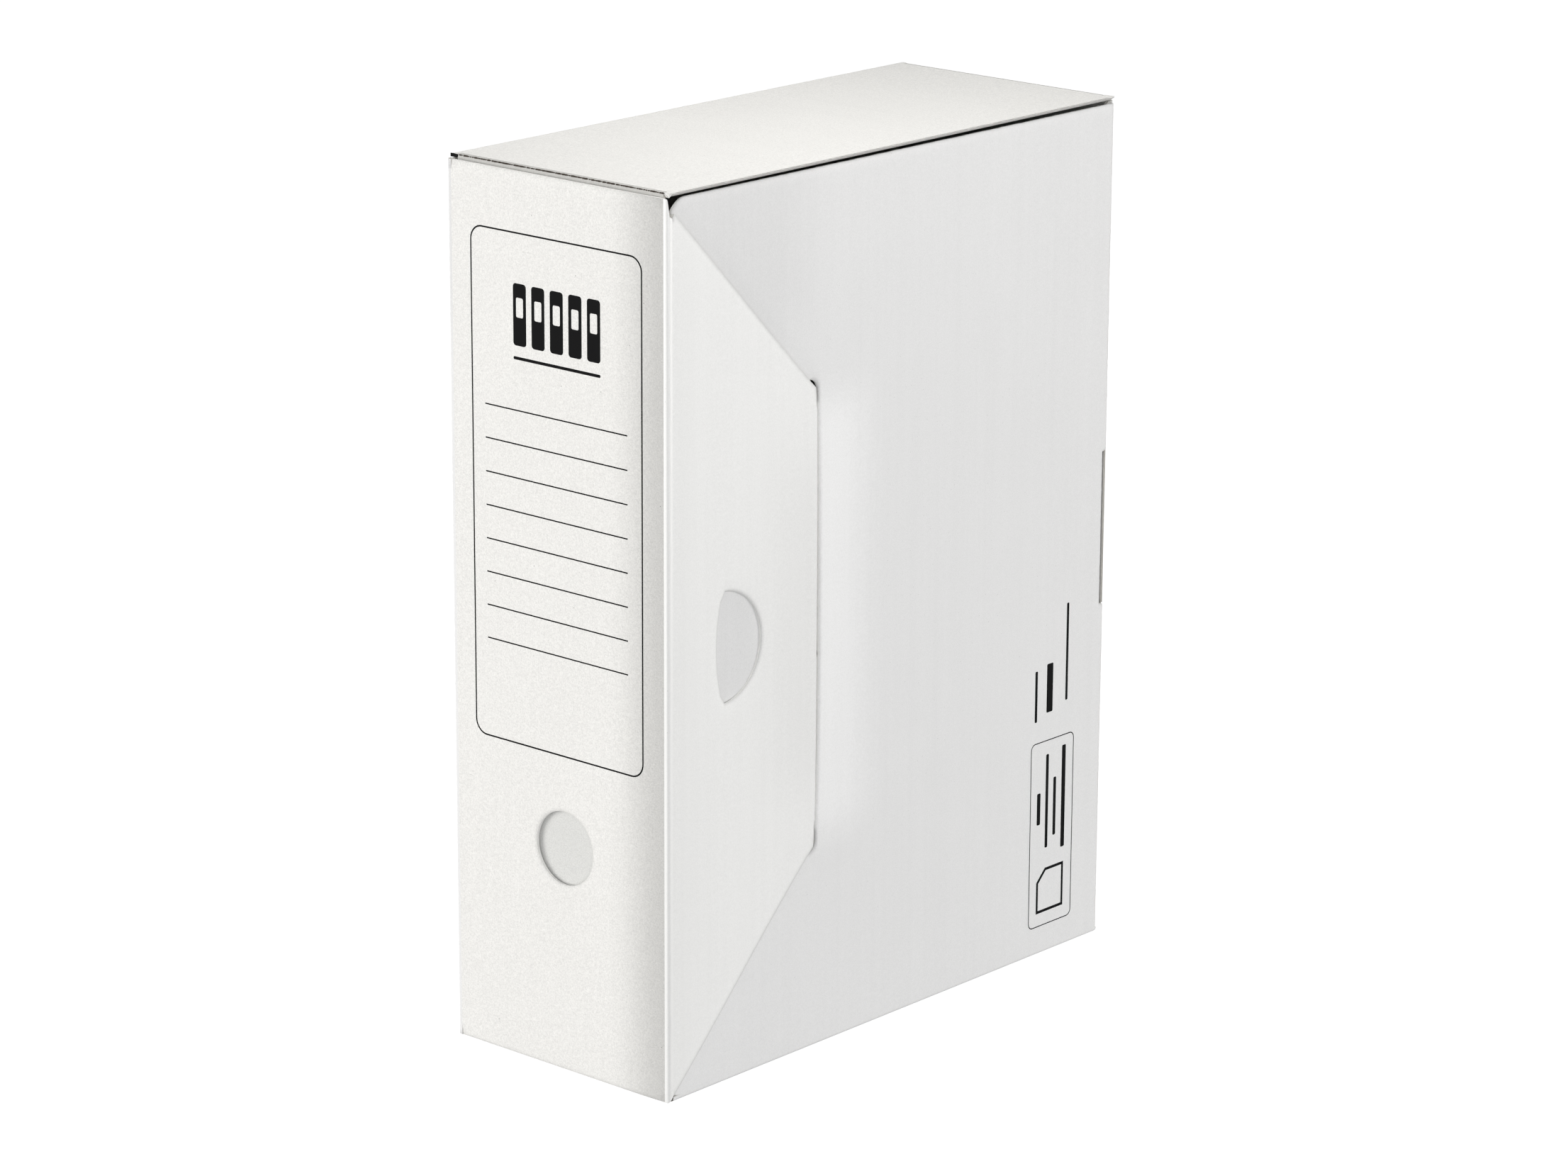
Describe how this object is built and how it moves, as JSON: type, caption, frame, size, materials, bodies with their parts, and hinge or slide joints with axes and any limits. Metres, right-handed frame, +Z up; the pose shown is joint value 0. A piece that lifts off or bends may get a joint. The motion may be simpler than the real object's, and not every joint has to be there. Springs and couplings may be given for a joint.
{
  "type": "archival box",
  "caption": "Upright folded board storage box for A4 files, with a hinged spine panel that a tongue tucked into a slit in the side wall holds shut.",
  "frame": {"origin": "centre of the footprint, on the surface that the box stands on", "axes": "+Z up along the height, the longest side; -Y is the spine's side; +X is the side that the closing tongue lies on, and X, the spine's width, is the shortest side"},
  "size_m": [0.105, 0.244, 0.325],
  "materials": {
    "spine_board": "matte",
    "outer_board": "matte",
    "side_board": "matte",
    "tongue_board": "matte",
    "inner_board": "matte"
  },
  "bodies": {
    "box": {"left_side_panel": "side_board", "right_side_panel": "side_board", "top_panel": "outer_board", "bottom_panel": "outer_board", "back_panel": "outer_board", "back_tuck_flap": "inner_board"},
    "spine": {"spine_panel": "spine_board"},
    "tongue": {"closing_tongue": "tongue_board", "tongue_tip": "tongue_board"},
    "top_front": {"top_front_flap": "inner_board"},
    "bottom_front": {"bottom_front_flap": "inner_board"},
    "top_rear": {"top_rear_flap": "inner_board"},
    "bottom_rear": {"bottom_rear_flap": "inner_board"}
  },
  "joints": [
    {"name": "spine_crease", "type": "hinge", "parent": "box", "child": "spine", "pos_m": [-0.0525, -0.122, 0.1625], "axis": [0, 0, -1], "range_deg": [0, 180]},
    {"name": "tongue_crease", "type": "hinge", "parent": "spine", "child": "tongue", "pos_m": [0.0525, -0.122, 0.1607], "axis": [0, 0, -1], "range_deg": [0, 120], "deforming": ["tongue_tip"]},
    {"name": "top_front_crease", "type": "hinge", "parent": "box", "child": "top_front", "pos_m": [0, -0.1187, 0.3235], "axis": [1, 0, 0], "range_deg": [0, 85]},
    {"name": "bottom_front_crease", "type": "hinge", "parent": "box", "child": "bottom_front", "pos_m": [0, -0.1187, 0.0015], "axis": [-1, 0, 0], "range_deg": [0, 85]},
    {"name": "top_rear_crease", "type": "hinge", "parent": "box", "child": "top_rear", "pos_m": [0, 0.1187, 0.3235], "axis": [-1, 0, 0], "range_deg": [0, 85]},
    {"name": "bottom_rear_crease", "type": "hinge", "parent": "box", "child": "bottom_rear", "pos_m": [0, 0.1187, 0.0015], "axis": [1, 0, 0], "range_deg": [0, 85]}
  ]
}
